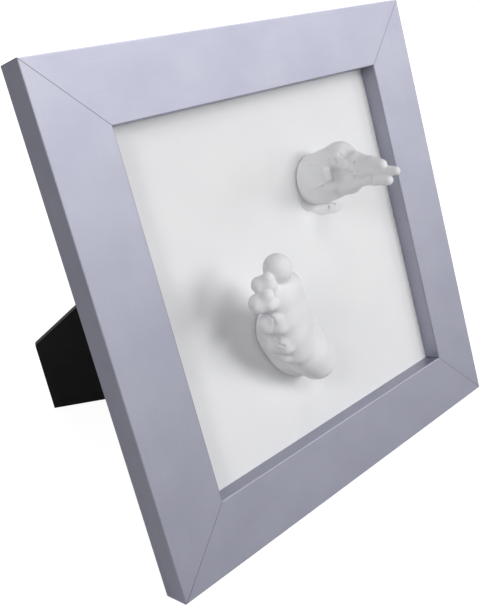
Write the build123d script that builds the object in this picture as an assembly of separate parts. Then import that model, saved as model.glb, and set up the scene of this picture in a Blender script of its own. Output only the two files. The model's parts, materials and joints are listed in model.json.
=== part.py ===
"""Square picture frame with a baby's hand and foot cast, standing on a slanted easel strut.

Everything is drawn in the frame's own plane first: x to the right, y up from the bottom edge, z out of
the front, with z = 0 on the front face. The last step leans it all back until the strut's foot edge and
the frame's lower back edge stand on one table at Z = 0. The front then faces -Y.
"""
import os
from math import asin, atan2, cos, degrees, radians, sin

from build123d import *

# Frame rails
OUTER = 250.0            # outer side of the square
RAIL_WIDTH = 34.5
RAIL_DEPTH = 16.0
LIP_DEPTH = 10.0         # from the front face back to the mount board
REBATE_WIDTH = 6.0
EDGE_ROUND = 0.7
MITRE_GAP = 0.06         # each mitred end stops this far short of the joint

# Boards in the rebate
BOARD_PLAY = 0.3
MOUNT_BOARD = 3.0

# V-nails across the mitres
NAIL_LEG = 5.0
NAIL_GAUGE = 0.5
NAIL_DEPTH = 7.0
NAIL_INSETS = (8.0, 18.0)   # from the outer corner, along each rail

# Turn buttons and their screws
BUTTON_GAUGE = 0.8
BUTTON_WIDTH = 7.0
BUTTON_NOSE = 11.0
BUTTON_TAIL = 5.0
BUTTON_TIP_RADIUS = 2.3
BUTTON_LIFT = 0.05       # running gap under the button and under the screw's head
PIVOT_FROM_REBATE = 6.0
SCREW_RADIUS = 1.25
SCREW_LENGTH = 9.0
SCREW_PLAY = 0.08
SCREW_HEAD_RADIUS = 2.4
SCREW_HEAD = 1.0
SCREW_HEAD_ROUND = 0.3
SLOT_WIDTH = 0.6
SLOT_DEPTH = 0.5
SIDE_BUTTON_PITCH = 120.0

# Easel strut, drawn folded flat against the back
STRUT_TIP_INSET = 3.5    # the folded tip stays this far inside the frame's left edge
STRUT_TIP_HEIGHT_SHARE = 0.088
STRUT_REACH_SHARE = 0.96        # of the frame's side, from the hinge axis to the tip
STRUT_SHOULDER_SHARE = 0.316    # widest, where the two foot edges end
STRUT_GAUGE = 3.0
STRUT_HEAD = 36.0
STRUT_HEAD_GAP = 3.2     # from the hinge axis to the head's edge
STRUT_ROUND = 2.0
HINGE_SLANT = 45.0       # degrees from the frame's bottom edge
OPENING = 39.4           # degrees between the folded and the open strut

# Strut hinge
PIN_RADIUS = 0.8
PIN_PLAY = 0.05
PIN_HEAD_RADIUS = 1.5
PIN_HEAD = 0.6
BARREL_RADIUS = 1.6
BARREL_LENGTH = 24.0
BARREL_LIFT = 0.1        # under the barrel, above the plate
PLATE_GAUGE = 0.8
PLATE_LENGTH = 16.0      # from the hinge axis, away from the strut
PLATE_TOE = 3.0          # from the hinge axis, towards the strut
PLATE_WIDTH = 40.0
PLATE_ROUND = 1.5
EAR_GAUGE = 1.0
EAR_RADIUS = 2.4
EAR_PLAY = 0.1
LEAF_LENGTH = 24.0
TONGUE_LENGTH = 6.5      # the stop beyond the barrel, which meets the plate when open
TONGUE_GAP = 0.05
RIVET_RADIUS = 1.5
RIVET_HEAD_RADIUS = 2.7
RIVET_HEAD = 0.7
RIVET_HEAD_ROUND = 0.4
BASE_RIVET_ALONG = -10.5     # from the hinge axis, towards the strut
BASE_RIVETS_ACROSS = (-12.5, 0.0, 12.5)
LEAF_RIVETS_ALONG = (8.7, 21.2)
LEAF_RIVETS_ACROSS = (-7.5, 7.5)

# Casts
GLUE_GAP = 0.8           # glue between each cast's cut face and the mount board
GLUE_INSET = 2.5
HAND_REACH = 61.8        # from the mount board to the middle fingertip
HAND_X_SHARE = 0.1256    # of the frame's side, from its middle and from its bottom edge
HAND_Y_SHARE = 0.6528
FOOT_LENGTH = 88.7       # heel to big toe
FOOT_X_SHARE = -0.0556
FOOT_Y_SHARE = 0.3576
ANKLE_RADII = (20.4, 26.6)
ANKLE_TURN = 32.0        # degrees
SMEAR_RADII = (16.0, 7.0)
SMEAR_SIDE = 3.4         # the smear's middle beside the wrist's middle, and below it
SMEAR_DROP = 15.5

OVERRUN = 1.0            # how far a cutting tool runs past what it cuts

# Balls of the hand, as shares of its reach: across, up, out from the board, radius
HAND_SHARES = {
    "wrist": (0.000, 0.000, -0.065, 0.233),
    "heel": (-0.006, 0.013, 0.097, 0.196),
    "palm_upper": (0.019, 0.104, 0.227, 0.142),
    "palm_lower": (0.019, -0.032, 0.235, 0.139),
    "knuckle_upper": (0.019, 0.155, 0.348, 0.118),
    "knuckle_lower": (0.019, -0.055, 0.388, 0.095),
    "thenar": (-0.037, -0.019, 0.081, 0.172),
    "thumb_ball": (-0.097, -0.029, 0.178, 0.139),
    "thumb_root": (-0.120, -0.003, 0.233, 0.097),
    "thumb_joint": (-0.160, 0.036, 0.301, 0.047),
    "thumb_tip": (-0.152, 0.084, 0.306, 0.039),
    "index_root": (0.006, -0.058, 0.421, 0.078),
    "index_joint": (-0.065, -0.049, 0.615, 0.052),
    "index_tip": (-0.087, -0.087, 0.893, 0.040),
    "middle_root": (-0.010, 0.010, 0.421, 0.078),
    "middle_joint": (-0.071, 0.013, 0.663, 0.053),
    "middle_tip": (-0.057, -0.026, 0.964, 0.036),
    "ring_root": (0.010, 0.113, 0.421, 0.078),
    "ring_joint": (-0.045, 0.087, 0.655, 0.055),
    "ring_tip": (-0.076, 0.045, 0.853, 0.044),
    "little_root": (-0.010, 0.165, 0.324, 0.071),
    "little_joint": (-0.061, 0.149, 0.414, 0.063),
    "little_tip": (-0.078, 0.049, 0.534, 0.047),
}
HAND_LINKS = (
    ("wrist", "heel"), ("heel", "palm_upper"), ("heel", "palm_lower"), ("palm_upper", "knuckle_upper"),
    ("palm_lower", "knuckle_lower"), ("knuckle_upper", "knuckle_lower"), ("thenar", "thumb_ball"),
    ("thumb_ball", "thumb_root"), ("thumb_root", "thumb_joint"), ("thumb_joint", "thumb_tip"),
    ("knuckle_lower", "index_root"), ("index_root", "index_joint"), ("index_joint", "index_tip"),
    ("knuckle_lower", "middle_root"), ("middle_root", "middle_joint"), ("middle_joint", "middle_tip"),
    ("knuckle_upper", "ring_root"), ("ring_root", "ring_joint"), ("ring_joint", "ring_tip"),
    ("knuckle_upper", "little_root"), ("little_root", "little_joint"), ("little_joint", "little_tip"),
)

# Balls of the foot, as shares of its length, measured the same way from the ankle's middle
FOOT_SHARES = {
    "heel_back": (-0.003, -0.154, 0.169, 0.104),
    "heel": (-0.010, -0.073, 0.124, 0.129),
    "heel_front": (-0.085, -0.056, 0.192, 0.101),
    "waist": (-0.150, 0.055, 0.221, 0.083),
    "arch": (-0.200, 0.175, 0.277, 0.077),
    "forefoot": (-0.231, 0.266, 0.325, 0.081),
    "big_ball": (-0.278, 0.389, 0.372, 0.077),
    "second_ball": (-0.357, 0.369, 0.392, 0.074),
    "third_ball": (-0.355, 0.312, 0.383, 0.074),
    "fourth_ball": (-0.342, 0.236, 0.356, 0.077),
    "fifth_ball": (-0.283, 0.130, 0.307, 0.081),
    "outer": (-0.229, 0.028, 0.257, 0.081),
    "outer_nub": (-0.291, 0.000, 0.255, 0.039),
    "instep": (-0.177, 0.096, 0.126, 0.140),
    "instep_far": (-0.294, 0.283, 0.300, 0.083),
    "instep_outer": (-0.276, 0.134, 0.271, 0.081),
    "inner_arch": (-0.087, 0.161, 0.214, 0.074),
    "inner_heel": (-0.030, 0.028, 0.147, 0.079),
    "big_toe_root": (-0.297, 0.423, 0.390, 0.054),
    "big_toe": (-0.363, 0.521, 0.455, 0.072),
    "second_toe": (-0.433, 0.454, 0.451, 0.037),
    "second_toe_tip": (-0.439, 0.497, 0.458, 0.034),
    "second_toe_back": (-0.462, 0.466, 0.410, 0.045),
    "third_toe": (-0.457, 0.361, 0.440, 0.039),
    "third_toe_tip": (-0.468, 0.405, 0.451, 0.036),
    "third_toe_back": (-0.499, 0.375, 0.401, 0.053),
    "fourth_toe": (-0.398, 0.218, 0.390, 0.042),
    "fourth_toe_tip": (-0.416, 0.269, 0.404, 0.038),
    "fourth_toe_back": (-0.434, 0.236, 0.343, 0.053),
    "fifth_toe": (-0.346, 0.080, 0.336, 0.041),
    "fifth_toe_tip": (-0.362, 0.116, 0.345, 0.041),
    "fifth_toe_back": (-0.364, 0.094, 0.289, 0.051),
}
FOOT_LINKS = (
    ("heel_back", "heel"), ("heel", "heel_front"), ("heel_front", "waist"), ("waist", "arch"),
    ("arch", "forefoot"), ("forefoot", "big_ball"), ("arch", "second_ball"), ("arch", "third_ball"),
    ("arch", "fourth_ball"), ("waist", "fifth_ball"), ("heel_front", "outer"),
    ("big_ball", "second_ball"), ("fourth_ball", "fifth_ball"), ("fifth_ball", "outer"),
    ("instep", "instep_far"), ("instep", "instep_outer"), ("inner_arch", "inner_heel"),
    ("outer", "outer_nub"), ("big_ball", "big_toe_root"), ("big_toe_root", "big_toe"),
    ("second_ball", "second_toe"), ("second_toe", "second_toe_tip"), ("second_ball", "second_toe_back"),
    ("second_toe", "second_toe_back"), ("third_ball", "third_toe"), ("third_toe", "third_toe_tip"),
    ("third_ball", "third_toe_back"), ("third_toe", "third_toe_back"), ("fourth_ball", "fourth_toe"),
    ("fourth_toe", "fourth_toe_tip"), ("fourth_ball", "fourth_toe_back"),
    ("fourth_toe", "fourth_toe_back"), ("fifth_ball", "fifth_toe"), ("fifth_toe", "fifth_toe_tip"),
    ("fifth_ball", "fifth_toe_back"), ("fifth_toe", "fifth_toe_back"),
)
ANKLE_TOP_SHARES = (-0.125, 0.030, 0.180)   # where the ankle runs into the foot
ANKLE_TOP_RADIUS_SHARE = 0.124
NECK_SHARE = 0.96        # each further link starts this much slimmer, so no two round faces coincide

BACK = -RAIL_DEPTH
BOARD_FACE = -LIP_DEPTH
REBATE_DEPTH = RAIL_DEPTH - LIP_DEPTH
REBATE_EDGE = RAIL_WIDTH - REBATE_WIDTH
BACKING_BOARD = REBATE_DEPTH - MOUNT_BOARD
BOARD_SIDE = OUTER - 2 * (REBATE_EDGE + BOARD_PLAY)
CENTRE = Vector(0, OUTER / 2, 0)
HAND_PLACE = Vector(OUTER * HAND_X_SHARE, OUTER * HAND_Y_SHARE, BOARD_FACE)
FOOT_PLACE = Vector(OUTER * FOOT_X_SHARE, OUTER * FOOT_Y_SHARE, BOARD_FACE)
PIVOT_INSET = REBATE_EDGE - PIVOT_FROM_REBATE
AXIS_HEIGHT = PLATE_GAUGE + BARREL_LIFT + BARREL_RADIUS
LEAF_TOP = AXIS_HEIGHT + PLATE_GAUGE / 2
STRUT_REACH = OUTER * STRUT_REACH_SHARE
STRUT_SHOULDER = OUTER * STRUT_SHOULDER_SHARE
STRUT_TIP = Vector(STRUT_TIP_INSET - OUTER / 2, OUTER * STRUT_TIP_HEIGHT_SHARE, BACK)

# The folded strut's own axes: q runs from the hinge to the tip, s along the hinge to the lower right,
# and h backwards from the frame's back face.
Q_DIR = Vector(-sin(radians(HINGE_SLANT)), -cos(radians(HINGE_SLANT)), 0)
S_DIR = Vector(cos(radians(HINGE_SLANT)), -sin(radians(HINGE_SLANT)), 0)
HINGE = STRUT_TIP - Q_DIR * STRUT_REACH
HINGE_PLANE = Plane(origin=HINGE, x_dir=Q_DIR, z_dir=Vector(0, 0, -1))
AXIS_POINT = HINGE - Vector(0, 0, AXIS_HEIGHT)
# A y step in the hinge plane runs against S_DIR.
OPEN_STRUT = HINGE_PLANE * Pos(0, 0, AXIS_HEIGHT) * Rot(0, -OPENING, 0) * Pos(0, 0, -AXIS_HEIGHT)


def opened(along, across, height):
    """A point of the folded strut, in frame coordinates, once the strut is open."""
    return (OPEN_STRUT * Pos(along, across, height)).position


def lean_angle():
    """How far the frame leans back when its lower back edge and the strut's tip stand on one table."""
    tip = opened(STRUT_REACH, 0, LEAF_TOP)
    return atan2(tip.Y, BACK - tip.Z)


LEAN = lean_angle()


def table_height(point):
    return point.Y * cos(LEAN) + (point.Z - BACK) * sin(LEAN)


def foot_edge_slope():
    """How much shorter the strut gets per millimetre across, for a foot edge that lies on the table."""
    across = table_height(opened(STRUT_REACH, -STRUT_SHOULDER / 2, LEAF_TOP))
    along = table_height(opened(STRUT_REACH, 0, LEAF_TOP)) - table_height(opened(0, 0, LEAF_TOP))
    return across / (STRUT_SHOULDER / 2) / along * STRUT_REACH


def rail_blank():
    """The bottom rail: its rounded L section, run along x and mitred at both ends."""
    front = Rectangle(RAIL_WIDTH, LIP_DEPTH, align=(Align.MIN, Align.MAX))
    rear = Pos(0, BOARD_FACE) * Rectangle(REBATE_EDGE, REBATE_DEPTH, align=(Align.MIN, Align.MAX))
    section = front + rear
    sharp = [v for v in section.vertices() if v.X < EDGE_ROUND or v.Y > -EDGE_ROUND]
    section = fillet(sharp, EDGE_ROUND)
    run = Plane(origin=(-OUTER / 2, 0, 0), x_dir=(0, 1, 0), z_dir=(1, 0, 0))
    bar = extrude(run * section, OUTER)
    reach = OUTER / 2 - MITRE_GAP
    inner = reach - RAIL_WIDTH - OVERRUN
    mitre = Polyline((-reach - OVERRUN, -OVERRUN), (reach + OVERRUN, -OVERRUN),
                     (inner, RAIL_WIDTH + OVERRUN), (-inner, RAIL_WIDTH + OVERRUN), close=True)
    wedge = extrude(Pos(0, 0, BACK - OVERRUN) * make_face(mitre), RAIL_DEPTH + 2 * OVERRUN)
    return bar & wedge


def about_centre(turn):
    """Turns a piece of the bottom rail to one of the four sides."""
    return Pos(CENTRE) * Rot(0, 0, turn) * Pos(-CENTRE)


def v_nails():
    """Two V-nails in each corner, driven from the back."""
    arm = Box(NAIL_LEG, NAIL_GAUGE, NAIL_DEPTH, align=(Align.MIN, Align.MIN, Align.MIN))
    other = Box(NAIL_GAUGE, NAIL_LEG, NAIL_DEPTH, align=(Align.MIN, Align.MIN, Align.MIN))
    nail = arm + other
    corner = [Pos(inset - OUTER / 2, inset, BACK) * nail for inset in NAIL_INSETS]
    return [about_centre(90 * side) * piece for side in range(4) for piece in corner]


BUTTON_SPOTS = {
    "turn_button_bottom": (0, 0),
    "turn_button_right_lower": (90, -SIDE_BUTTON_PITCH / 2),
    "turn_button_right_upper": (90, SIDE_BUTTON_PITCH / 2),
    "turn_button_top": (180, 0),
    "turn_button_left_upper": (270, -SIDE_BUTTON_PITCH / 2),
    "turn_button_left_lower": (270, SIDE_BUTTON_PITCH / 2),
}


def button_place(turn, along):
    return about_centre(turn) * Pos(along, PIVOT_INSET, BACK)


def turn_button():
    """A pressed steel button: round tail, tapered nose, screw hole at the origin. It lies below z = 0."""
    tail = Pos(0, BUTTON_WIDTH / 2 - BUTTON_TAIL) * Circle(BUTTON_WIDTH / 2)
    nose = Pos(0, BUTTON_NOSE - BUTTON_TIP_RADIUS) * Circle(BUTTON_TIP_RADIUS)
    outline = make_hull((tail + nose).edges())
    hole = Circle(SCREW_RADIUS + SCREW_PLAY)
    return Pos(0, 0, -BUTTON_LIFT) * extrude(outline - hole, -BUTTON_GAUGE)


def button_screw():
    """A slotted pan-head screw, with its shank up into the rail."""
    seat = -(2 * BUTTON_LIFT + BUTTON_GAUGE)
    shank = Pos(0, 0, seat) * Cylinder(SCREW_RADIUS, SCREW_LENGTH,
                                       align=(Align.CENTER, Align.CENTER, Align.MIN))
    head = Pos(0, 0, seat) * Cylinder(SCREW_HEAD_RADIUS, SCREW_HEAD,
                                      align=(Align.CENTER, Align.CENTER, Align.MAX))
    head = fillet(head.edges().sort_by(Axis.Z)[0], SCREW_HEAD_ROUND)
    slot = Pos(0, 0, seat - SCREW_HEAD) * Box(2 * (SCREW_HEAD_RADIUS + OVERRUN), SLOT_WIDTH, 2 * SLOT_DEPTH)
    return shank + head - slot


def screw_hole():
    return Pos(0, 0, -OVERRUN) * Cylinder(SCREW_RADIUS, SCREW_LENGTH - 2 * BUTTON_LIFT - BUTTON_GAUGE + OVERRUN,
                                          align=(Align.CENTER, Align.CENTER, Align.MIN))


def strut_panel(rivets):
    """The strut, folded, with its two foot edges and its tapered sides."""
    half = STRUT_SHOULDER / 2
    shoulder = STRUT_REACH - half * foot_edge_slope()
    head = STRUT_HEAD / 2
    outline = Polyline((STRUT_REACH, 0), (shoulder, half), (STRUT_HEAD_GAP, head),
                       (STRUT_HEAD_GAP, -head), (shoulder, -half), close=True)
    sheet = fillet(make_face(outline).vertices().sort_by(Axis.X)[:-1], STRUT_ROUND)   # all but the tip
    return HINGE_PLANE * Pos(0, 0, LEAF_TOP) * extrude(sheet, STRUT_GAUGE) - rivets


def rivet(grip, tail_head):
    """A rivet with its outer head above h = grip; the shank runs down to h = 0."""
    shank = Cylinder(RIVET_RADIUS, grip, align=(Align.CENTER, Align.CENTER, Align.MIN))
    head = Cylinder(RIVET_HEAD_RADIUS, RIVET_HEAD, align=(Align.CENTER, Align.CENTER, Align.MIN))
    head = fillet(head.edges().sort_by(Axis.Z)[-1], RIVET_HEAD_ROUND)
    whole = shank + Pos(0, 0, grip) * head
    if tail_head:
        whole += Rot(180, 0, 0) * head
    return whole


def hinge_base():
    """The plate riveted to the backing board, with an ear at each end of the barrel."""
    length = PLATE_LENGTH + PLATE_TOE
    plate = Pos((PLATE_TOE - PLATE_LENGTH) / 2, 0) * RectangleRounded(length, PLATE_WIDTH, PLATE_ROUND)
    base = extrude(plate, PLATE_GAUGE)
    ear_side = Pos(0, AXIS_HEIGHT) * Circle(EAR_RADIUS) + Rectangle(
        2 * EAR_RADIUS, AXIS_HEIGHT, align=(Align.CENTER, Align.MIN))
    ear_side -= Pos(0, AXIS_HEIGHT) * Circle(PIN_RADIUS)
    for side in (-1, 1):
        middle = side * (BARREL_LENGTH / 2 + EAR_PLAY + EAR_GAUGE / 2)
        wall = Plane(origin=(0, middle, 0), x_dir=(1, 0, 0), z_dir=(0, -1, 0))
        base += extrude(wall * ear_side, EAR_GAUGE / 2, both=True)
    return HINGE_PLANE * base


def hinge_leaf():
    """The barrel round the pin, the leaf riveted under the strut, and the stop tongue behind it."""
    across = Plane(origin=(0, 0, AXIS_HEIGHT), x_dir=(1, 0, 0), z_dir=(0, -1, 0))
    bore = Circle(PIN_RADIUS + PIN_PLAY)
    leaf = Pos(LEAF_LENGTH / 2) * Rectangle(LEAF_LENGTH, PLATE_GAUGE)
    foot = -(AXIS_HEIGHT - PLATE_GAUGE - TONGUE_GAP)
    tongue = Pos(0, foot) * Rectangle(TONGUE_LENGTH, PLATE_GAUGE, align=(Align.MAX, Align.MIN))
    shape = Circle(BARREL_RADIUS) + leaf + Rot(0, 0, -OPENING) * tongue - bore
    return HINGE_PLANE * extrude(across * shape, BARREL_LENGTH / 2, both=True)


def hinge_pin():
    across = Plane(origin=(0, 0, AXIS_HEIGHT), x_dir=(1, 0, 0), z_dir=(0, -1, 0))
    reach = BARREL_LENGTH / 2 + EAR_PLAY + EAR_GAUGE
    pin = extrude(across * Circle(PIN_RADIUS), reach, both=True)
    for side in (-1, 1):
        end = Plane(origin=(0, side * reach, AXIS_HEIGHT), z_dir=(0, side, 0))
        pin += extrude(end * Circle(PIN_HEAD_RADIUS), PIN_HEAD)
    return HINGE_PLANE * pin


def rounded_link(start, start_radius, end, end_radius):
    """Two balls and the cone that joins them, turned in one piece."""
    way = end - start
    tilt = asin((start_radius - end_radius) / way.length)

    def on_ball(centre, radius, angle):
        return (centre + radius * cos(angle), radius * sin(angle))

    side = radians(90) - tilt
    first = (-start_radius, 0)
    meet = on_ball(0, start_radius, side)
    leave = on_ball(way.length, end_radius, side)
    last = (way.length + end_radius, 0)
    outline = [
        ThreePointArc(first, on_ball(0, start_radius, (radians(180) + side) / 2), meet),
        Line(meet, leave),
        ThreePointArc(leave, on_ball(way.length, end_radius, side / 2), last),
        Line(last, first),
    ]
    turned = revolve(make_face(outline), Axis.X)
    helper = Vector(0, 0, 1) if abs(way.Z) < abs(way.X) + abs(way.Y) else Vector(1, 0, 0)
    return Plane(origin=start, x_dir=way, z_dir=way.cross(helper)) * turned


def flesh(shares, links, scale, base):
    """A cast's linked balls, measured from the middle of its cut face."""
    balls = {name: (base + Vector(*[scale * share for share in row[:3]]), scale * row[3])
             for name, row in shares.items()}
    used = {}
    pieces = []
    for start, end in links:
        slims = []
        for name in (start, end):
            slims.append(balls[name][1] * NECK_SHARE ** used.get(name, 0))
            used[name] = used.get(name, 0) + 1
        pieces.append(rounded_link(balls[start][0], slims[0], balls[end][0], slims[1]))
    return pieces


def fused(pieces):
    whole = pieces[0]
    for piece in pieces[1:]:
        whole += piece
    return whole


def behind_cut_face():
    """Everything behind the casts' cut faces."""
    return Pos(0, OUTER / 2, BOARD_FACE + GLUE_GAP) * Box(
        OUTER, OUTER, HAND_REACH, align=(Align.CENTER, Align.CENTER, Align.MAX))


def hand_cast():
    return fused(flesh(HAND_SHARES, HAND_LINKS, HAND_REACH, HAND_PLACE)) - behind_cut_face()


def foot_cast():
    top = FOOT_PLACE + Vector(*[FOOT_LENGTH * share for share in ANKLE_TOP_SHARES])
    cut = Pos(FOOT_PLACE + Vector(0, 0, GLUE_GAP)) * Rot(0, 0, ANKLE_TURN) * Ellipse(*ANKLE_RADII)
    ankle = loft([cut, Pos(top) * Circle(FOOT_LENGTH * ANKLE_TOP_RADIUS_SHARE)])
    return fused([ankle] + flesh(FOOT_SHARES, FOOT_LINKS, FOOT_LENGTH, FOOT_PLACE)) - behind_cut_face()


def glue_pad(radii, place, turn=0):
    return extrude(Pos(place) * Rot(0, 0, turn) * Ellipse(*radii), GLUE_GAP)


def build():
    """Every sub-part in frame coordinates, with the strut open."""
    nails = v_nails()
    blank = rail_blank()
    names = {0: "rail_bottom", 90: "rail_right", 180: "rail_top", 270: "rail_left"}
    parts = {}
    for turn, name in names.items():
        rail = about_centre(turn) * blank - nails
        holes = [button_place(side, along) * screw_hole() for side, along in BUTTON_SPOTS.values() if side == turn]
        parts[name] = rail - holes
    parts["corner_v_nails"] = Compound(children=nails)

    sheet = Pos(CENTRE) * Rectangle(BOARD_SIDE, BOARD_SIDE)
    parts["mount_board"] = Pos(0, 0, BOARD_FACE) * extrude(sheet, -MOUNT_BOARD)
    base_rivets = [HINGE_PLANE * Pos(BASE_RIVET_ALONG, across, -BACKING_BOARD)
                   * rivet(BACKING_BOARD + PLATE_GAUGE, False) for across in BASE_RIVETS_ACROSS]
    backing = Pos(0, 0, BACK) * extrude(sheet, BACKING_BOARD)
    parts["backing_board"] = backing - base_rivets
    parts["hinge_base"] = hinge_base() - base_rivets
    parts["hinge_base_rivets"] = Compound(children=base_rivets)
    parts["hinge_pin"] = hinge_pin()

    leaf_rivets = [HINGE_PLANE * Pos(along, across, LEAF_TOP - PLATE_GAUGE)
                   * rivet(PLATE_GAUGE + STRUT_GAUGE, True)
                   for along in LEAF_RIVETS_ALONG for across in LEAF_RIVETS_ACROSS]
    to_open = OPEN_STRUT * HINGE_PLANE.location.inverse()
    parts["strut_panel"] = to_open * strut_panel(leaf_rivets)
    parts["hinge_leaf"] = to_open * (hinge_leaf() - leaf_rivets)
    parts["strut_rivets"] = to_open * Compound(children=leaf_rivets)

    for name, (turn, along) in BUTTON_SPOTS.items():
        parts[name] = button_place(turn, along) * turn_button()
    parts["turn_button_screws"] = Compound(children=[
        button_place(turn, along) * button_screw() for turn, along in BUTTON_SPOTS.values()])

    parts["hand_cast"] = hand_cast()
    parts["foot_cast"] = foot_cast()
    wrist = HAND_REACH * HAND_SHARES["wrist"][3] - GLUE_INSET
    smear = glue_pad(SMEAR_RADII, HAND_PLACE + Vector(SMEAR_SIDE, -SMEAR_DROP, 0))
    parts["hand_glue"] = glue_pad((wrist, wrist), HAND_PLACE) + smear
    ankle = [radius - GLUE_INSET for radius in ANKLE_RADII]
    parts["foot_glue"] = glue_pad(ankle, FOOT_PLACE, ANKLE_TURN)
    return parts


def stand_up(parts):
    """Leans everything back onto the table and centres the whole in X and Y."""
    upright = Rot(90 - degrees(LEAN), 0, 0) * Pos(0, 0, -BACK)
    standing = {name: upright * shape for name, shape in parts.items()}
    boxes = [shape.bounding_box() for shape in standing.values()]
    x_middle = (min(box.min.X for box in boxes) + max(box.max.X for box in boxes)) / 2
    y_middle = (min(box.min.Y for box in boxes) + max(box.max.Y for box in boxes)) / 2
    shift = Pos(-x_middle, -y_middle, 0)
    return shift * upright, {name: shift * shape for name, shape in standing.items()}


def main():
    os.makedirs("parts", exist_ok=True)
    placed, parts = stand_up(build())
    for name, shape in parts.items():
        export_step(shape, f"parts/{name}.step")
    axis_point = (placed * Pos(AXIS_POINT)).position
    axis_end = (placed * Pos(AXIS_POINT + S_DIR)).position
    print("lean", round(degrees(LEAN), 3), "degrees, strut opening", OPENING)
    print("hinge axis point", tuple(axis_point), "direction", tuple(axis_end - axis_point))
    face_out = (placed * Pos(0, 0, 1)).position - placed.position
    print("front face normal", tuple(face_out), "frame origin", tuple(placed.position))
    for name, (turn, along) in BUTTON_SPOTS.items():
        print(name, tuple((placed * button_place(turn, along)).position))


main()
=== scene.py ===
"""Dresses the keepsake frame: foil rails, white board, plaster hand and foot, black back and strut."""
import json
from math import cos, pi, radians, sin

import bpy
import numpy as np
from mathutils import Matrix, Vector


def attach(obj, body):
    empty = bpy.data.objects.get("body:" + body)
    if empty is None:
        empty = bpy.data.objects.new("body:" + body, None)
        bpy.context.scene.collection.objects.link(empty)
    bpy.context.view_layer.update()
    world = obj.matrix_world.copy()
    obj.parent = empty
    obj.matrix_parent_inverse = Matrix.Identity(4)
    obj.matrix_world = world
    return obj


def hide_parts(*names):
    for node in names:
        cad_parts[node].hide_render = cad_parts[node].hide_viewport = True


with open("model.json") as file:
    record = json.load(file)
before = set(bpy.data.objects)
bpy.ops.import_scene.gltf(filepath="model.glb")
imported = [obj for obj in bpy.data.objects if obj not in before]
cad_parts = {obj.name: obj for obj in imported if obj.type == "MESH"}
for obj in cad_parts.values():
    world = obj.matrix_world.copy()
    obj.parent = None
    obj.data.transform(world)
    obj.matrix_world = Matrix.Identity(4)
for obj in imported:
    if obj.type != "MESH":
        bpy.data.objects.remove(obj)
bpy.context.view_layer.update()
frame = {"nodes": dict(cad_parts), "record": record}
MM = 0.001

# The frame's own axes: across to the right, up along the rails, out of the front face
RECORD = frame["record"]
REST_FACE = next(mount for mount in RECORD["mounts"] if mount["name"] == "lower_rail_face")
JOINTS = {joint["child"]: joint for joint in RECORD["behaviour"]["joints"]}
BUTTON_JOINTS = {body: joint for body, joint in JOINTS.items() if body.startswith("button_")}
OUTER = 250.0
RAIL_WIDTH = 34.5
RAIL_DEPTH = 16.0
LIP_DEPTH = 10.0         # from the front face back to the mount board
ACROSS = Vector((1, 0, 0))
UP = -Vector(REST_FACE["axis"]).normalized()
OUT = ACROSS.cross(UP)
FRONT_EDGE = Vector(REST_FACE["pos_m"]) + OUT * RAIL_DEPTH / 2 * MM
FRAME_AXES = np.array([ACROSS, UP, OUT])


def in_world(points):
    """Points in the frame's own millimetres, as world metres."""
    return np.array(FRONT_EDGE) + np.asarray(points, float) @ FRAME_AXES * MM


def along_axes(direction):
    """A direction along the frame's own axes, in the world."""
    return Vector(np.array(direction) @ FRAME_AXES)


# Camera and light

CAMERA_PLACE = (-282.0, 201.9, 298.9)      # in the frame's own millimetres
CAMERA_RIGHT = (0.7098, -0.2514, 0.6580)   # along the frame's own axes, as the next
CAMERA_DOWN = (-0.3170, -0.9482, -0.0203)
CAMERA_LENS = 47.19
CAMERA_SENSOR = 36.0
CAMERA_SHIFT = (-0.0361, -0.0331)
CAMERA_CLIP = 0.01
LAMP_DISTANCE = 2.1      # metres, as the lamps' own sizes
LAMP_TARGET = Vector((0, -0.03, 0.12))
LAMPS = {   # direction from the target along the frame's own axes, width, height, power
    "key_softbox": ((0.33, 0.10, 1.0), 1.1, 0.7, 15.5),
    "top_softbox": ((-0.05, 0.45, 1.0), 0.6, 0.6, 7.6),
    "left_softbox": ((-1.60, 0.90, 1.0), 0.6, 0.6, 9.6),
    "right_softbox": ((1.10, -0.10, 1.0), 0.7, 0.7, 5.6),
    "back_softbox": ((0.40, 0.60, -1.0), 1.0, 1.0, 12.0),
}
FILL_STRENGTH = 0.14
ROOM_PALES_TOWARD = (0.25, 0.0, 0.97)      # the room in the rails' shine grows paler this way
ROOM_SPAN = (-0.15, 0.75)
ROOM_STRENGTHS = (0.0, 1.69)
FLOOR_REACH = 4.0
FLOOR_COLOUR = (0.5, 0.5, 0.505, 1)
FLOOR_ROUGHNESS = 0.9
FLOOR_GLOW = 0.88        # makes the floor white for the camera, outside the object's shadow


def aim_camera():
    right, down = along_axes(CAMERA_RIGHT), along_axes(CAMERA_DOWN)
    back = right.cross(-down).normalized()
    turn = Matrix((right.normalized(), back.cross(right).normalized(), back)).transposed().to_4x4()
    data = bpy.data.cameras.new("photo_camera")
    data.lens = CAMERA_LENS
    data.sensor_width = CAMERA_SENSOR
    data.shift_x, data.shift_y = CAMERA_SHIFT
    data.clip_start = CAMERA_CLIP
    camera = bpy.data.objects.new("photo_camera", data)
    camera.matrix_world = Matrix.Translation(in_world(CAMERA_PLACE)) @ turn
    bpy.context.collection.objects.link(camera)
    bpy.context.scene.camera = camera


def hang_lamps():
    for name, (direction, width, height, power) in LAMPS.items():
        data = bpy.data.lights.new(name, "AREA")
        data.shape = "ELLIPSE"
        data.size = width
        data.size_y = height
        data.energy = power
        lamp = bpy.data.objects.new(name, data)
        away = along_axes(direction).normalized()
        lamp.location = LAMP_TARGET + away * LAMP_DISTANCE
        lamp.rotation_euler = away.to_track_quat("Z", "Y").to_euler()
        lamp.visible_glossy = False   # the rails mirror only the room
        bpy.context.collection.objects.link(lamp)


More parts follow.
